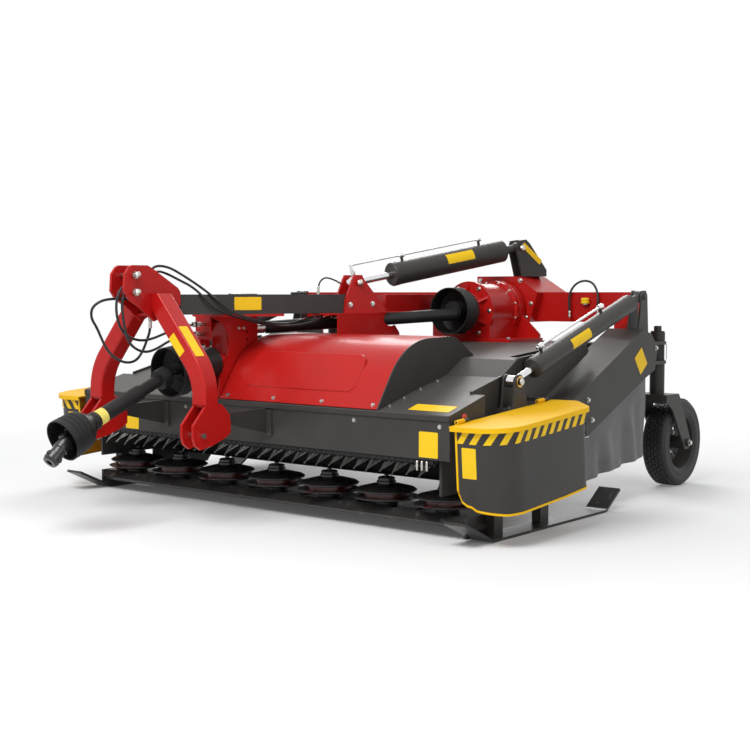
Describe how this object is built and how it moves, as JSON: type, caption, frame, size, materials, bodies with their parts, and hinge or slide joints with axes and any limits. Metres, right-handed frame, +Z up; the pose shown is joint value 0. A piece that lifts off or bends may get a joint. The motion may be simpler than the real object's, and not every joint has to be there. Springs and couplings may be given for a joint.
{
  "type": "disc mower",
  "caption": "Red and black semi-mounted disc mower with a three-point hitch, folding yellow side guards and a rear frame on caster wheels lifted by hydraulic cylinders.",
  "frame": {"origin": "on the ground under the middle of the whole machine", "axes": "+Z up, -Y towards the tractor, +Y towards the caster wheels, +X to the side with the hood's dark end plate"},
  "size_m": [3.47, 3.9519, 1.5839],
  "materials": {
    "red_paint": "gloss",
    "dark_paint": "satin",
    "black_steel": "gloss",
    "yellow_paint": "gloss",
    "black_plastic": "satin",
    "zinc": "satin",
    "chrome": "polished",
    "curtain": "matte",
    "tyre": "matte",
    "hose": "satin"
  },
  "bodies": {
    "mower": {"cutterbar": "dark_paint", "end_frames": "dark_paint", "front_cover": "dark_paint", "rear_deck": "dark_paint", "lift_pivots": "dark_paint", "hood": "red_paint", "hood_side_plate": "dark_paint", "skids": "dark_paint", "hitch_frame": "red_paint", "hitch_pins": "zinc", "hitch_brackets": "dark_paint", "boom": "dark_paint", "pylon": "red_paint", "cylinder_bracket": "red_paint", "shield": "red_paint", "rear_strut": "red_paint", "cross_shaft_guard": "black_plastic", "input_guard": "black_plastic", "input_gearbox": "red_paint", "gearbox": "red_paint", "guard_hinges": "dark_paint", "hose_fittings": "zinc", "hose_loop_left": "hose", "hose_long_upper": "hose", "hose_long_lower": "hose", "hose_arch_front": "hose"},
    "conditioner": {"conditioner_rotor": "dark_paint"},
    "cross_shaft_body": {"cross_shaft": "zinc"},
    "lift_frame": {"side_arms": "dark_paint", "side_curtains": "curtain", "cylinder_mounts": "dark_paint", "rear_beam": "red_paint", "wheel_sleeves": "dark_paint", "hose_arch_rear": "hose"},
    "pto_inner": {"pto_inner_tube": "black_plastic"},
    "pto_outer": {"pto_guard_tube": "black_plastic"},
    "pto_yoke_body": {"pto_yoke": "dark_paint"},
    "disc_body_1": {"disc_1": "black_steel"},
    "disc_body_2": {"disc_2": "black_steel"},
    "disc_body_3": {"disc_3": "black_steel"},
    "disc_body_4": {"disc_4": "black_steel"},
    "disc_body_5": {"disc_5": "black_steel"},
    "disc_body_6": {"disc_6": "black_steel"},
    "disc_body_7": {"disc_7": "black_steel"},
    "centre_cylinder_barrel_body": {"centre_cylinder_barrel": "dark_paint"},
    "centre_cylinder_rod_body": {"centre_cylinder_rod": "chrome"},
    "side_cylinder_right_barrel_body": {"side_cylinder_right_barrel": "dark_paint"},
    "side_cylinder_right_rod_body": {"side_cylinder_right_rod": "chrome"},
    "side_cylinder_left_barrel_body": {"side_cylinder_left_barrel": "dark_paint"},
    "side_cylinder_left_rod_body": {"side_cylinder_left_rod": "chrome"},
    "caster_right": {"caster_fork_right": "dark_paint"},
    "wheel_right": {"rim_right": "dark_paint", "tyre_right": "tyre"},
    "guard_right": {"guard_top_right": "yellow_paint", "guard_skirt_right": "dark_paint"},
    "caster_left": {"caster_fork_left": "dark_paint"},
    "wheel_left": {"rim_left": "dark_paint", "tyre_left": "tyre"},
    "guard_left": {"guard_top_left": "yellow_paint", "guard_skirt_left": "dark_paint"}
  },
  "joints": [
    {"name": "pto_pitch", "type": "hinge", "parent": "mower", "child": "pto_inner", "pos_m": [-0.25, -1.134, 0.8], "axis": [1, 0, 0], "range_deg": [-20, 8]},
    {"name": "pto_slide", "type": "slide", "parent": "pto_inner", "child": "pto_outer", "axis": [0, -0.9205, -0.3907], "range_m": [-0.1, 0.15]},
    {"name": "pto_spin", "type": "hinge", "parent": "pto_outer", "child": "pto_yoke_body", "pos_m": [-0.25, -1.81057, 0.51281], "axis": [0, -0.7431, -0.6691], "continuous": true},
    {"name": "disc_1_spin", "type": "hinge", "parent": "mower", "child": "disc_body_1", "pos_m": [-1.2, -0.574, 0.128], "axis": [0, 0, 1], "continuous": true},
    {"name": "disc_2_spin", "type": "hinge", "parent": "mower", "child": "disc_body_2", "pos_m": [-0.8, -0.574, 0.128], "axis": [0, 0, 1], "continuous": true},
    {"name": "disc_3_spin", "type": "hinge", "parent": "mower", "child": "disc_body_3", "pos_m": [-0.4, -0.574, 0.128], "axis": [0, 0, 1], "continuous": true},
    {"name": "disc_4_spin", "type": "hinge", "parent": "mower", "child": "disc_body_4", "pos_m": [0, -0.574, 0.128], "axis": [0, 0, 1], "continuous": true},
    {"name": "disc_5_spin", "type": "hinge", "parent": "mower", "child": "disc_body_5", "pos_m": [0.4, -0.574, 0.128], "axis": [0, 0, 1], "continuous": true},
    {"name": "disc_6_spin", "type": "hinge", "parent": "mower", "child": "disc_body_6", "pos_m": [0.8, -0.574, 0.128], "axis": [0, 0, 1], "continuous": true},
    {"name": "disc_7_spin", "type": "hinge", "parent": "mower", "child": "disc_body_7", "pos_m": [1.2, -0.574, 0.128], "axis": [0, 0, 1], "continuous": true},
    {"name": "conditioner_spin", "type": "hinge", "parent": "mower", "child": "conditioner", "pos_m": [0, -0.349, 0.445], "axis": [1, 0, 0], "continuous": true},
    {"name": "cross_shaft_spin", "type": "hinge", "parent": "mower", "child": "cross_shaft_body", "pos_m": [-0.262, -0.514, 1.025], "axis": [0.5474, 0.8348, 0.0586], "continuous": true},
    {"name": "lift", "type": "hinge", "parent": "mower", "child": "lift_frame", "pos_m": [0, 0.376, 0.48], "axis": [1, 0, 0], "range_deg": [-7, 0]},
    {"name": "centre_cylinder_pivot", "type": "hinge", "parent": "lift_frame", "child": "centre_cylinder_barrel_body", "pos_m": [0.48166, 1.17576, 1.52], "axis": [0.7281, -0.3407, 0.5948], "range_deg": [-0.3, 2.26]},
    {"name": "centre_cylinder_stroke", "type": "slide", "parent": "centre_cylinder_barrel_body", "child": "centre_cylinder_rod_body", "axis": [-0.2924, -0.9392, -0.18], "range_m": [-0.002, 0.10258]},
    {"name": "side_cylinder_right_pivot", "type": "hinge", "parent": "lift_frame", "child": "side_cylinder_right_barrel_body", "pos_m": [1.366, 1.156, 1.206], "axis": [1, 0, 0], "range_deg": [-0.3, 2.7]},
    {"name": "side_cylinder_right_stroke", "type": "slide", "parent": "side_cylinder_right_barrel_body", "child": "side_cylinder_right_rod_body", "axis": [0, -0.9539, -0.3003], "range_m": [-0.002, 0.05552]},
    {"name": "side_cylinder_left_pivot", "type": "hinge", "parent": "lift_frame", "child": "side_cylinder_left_barrel_body", "pos_m": [-1.366, 1.156, 1.206], "axis": [1, 0, 0], "range_deg": [-0.3, 2.7]},
    {"name": "side_cylinder_left_stroke", "type": "slide", "parent": "side_cylinder_left_barrel_body", "child": "side_cylinder_left_rod_body", "axis": [0, -0.9539, -0.3003], "range_m": [-0.002, 0.05552]},
    {"name": "caster_swivel_right", "type": "hinge", "parent": "lift_frame", "child": "caster_right", "pos_m": [1.335, 1.476, 0.6], "axis": [0, 0, 1], "range_deg": [-100, 100]},
    {"name": "wheel_spin_right", "type": "hinge", "parent": "caster_right", "child": "wheel_right", "pos_m": [1.335, 1.696, 0.28], "axis": [1, 0, 0], "continuous": true},
    {"name": "guard_fold_right", "type": "hinge", "parent": "mower", "child": "guard_right", "pos_m": [1.415, -0.864, 0.598], "axis": [0, -0.9973, -0.0732], "range_deg": [0, 88]},
    {"name": "caster_swivel_left", "type": "hinge", "parent": "lift_frame", "child": "caster_left", "pos_m": [-1.335, 1.476, 0.6], "axis": [0, 0, 1], "range_deg": [-100, 100]},
    {"name": "wheel_spin_left", "type": "hinge", "parent": "caster_left", "child": "wheel_left", "pos_m": [-1.335, 1.696, 0.28], "axis": [1, 0, 0], "continuous": true},
    {"name": "guard_fold_left", "type": "hinge", "parent": "mower", "child": "guard_left", "pos_m": [-1.415, -0.864, 0.598], "axis": [0, 0.9973, 0.0732], "range_deg": [0, 88]}
  ],
  "couplings": [
    {"joint": "disc_1_spin", "follows": "pto_spin", "ratio": -3},
    {"joint": "disc_2_spin", "follows": "pto_spin", "ratio": 3},
    {"joint": "disc_3_spin", "follows": "pto_spin", "ratio": -3},
    {"joint": "disc_4_spin", "follows": "pto_spin", "ratio": 3},
    {"joint": "disc_5_spin", "follows": "pto_spin", "ratio": -3},
    {"joint": "disc_6_spin", "follows": "pto_spin", "ratio": 3},
    {"joint": "disc_7_spin", "follows": "pto_spin", "ratio": -3},
    {"joint": "conditioner_spin", "follows": "pto_spin", "ratio": 0.9},
    {"joint": "cross_shaft_spin", "follows": "pto_spin", "ratio": -1},
    {"joint": "centre_cylinder_pivot", "follows": "lift", "ratio": -0.27954},
    {"joint": "centre_cylinder_stroke", "follows": "lift", "m_per_rad": -0.82328},
    {"joint": "side_cylinder_right_pivot", "follows": "lift", "ratio": -0.34333},
    {"joint": "side_cylinder_right_stroke", "follows": "lift", "m_per_rad": -0.43809},
    {"joint": "side_cylinder_left_pivot", "follows": "lift", "ratio": -0.34333},
    {"joint": "side_cylinder_left_stroke", "follows": "lift", "m_per_rad": -0.43809}
  ]
}
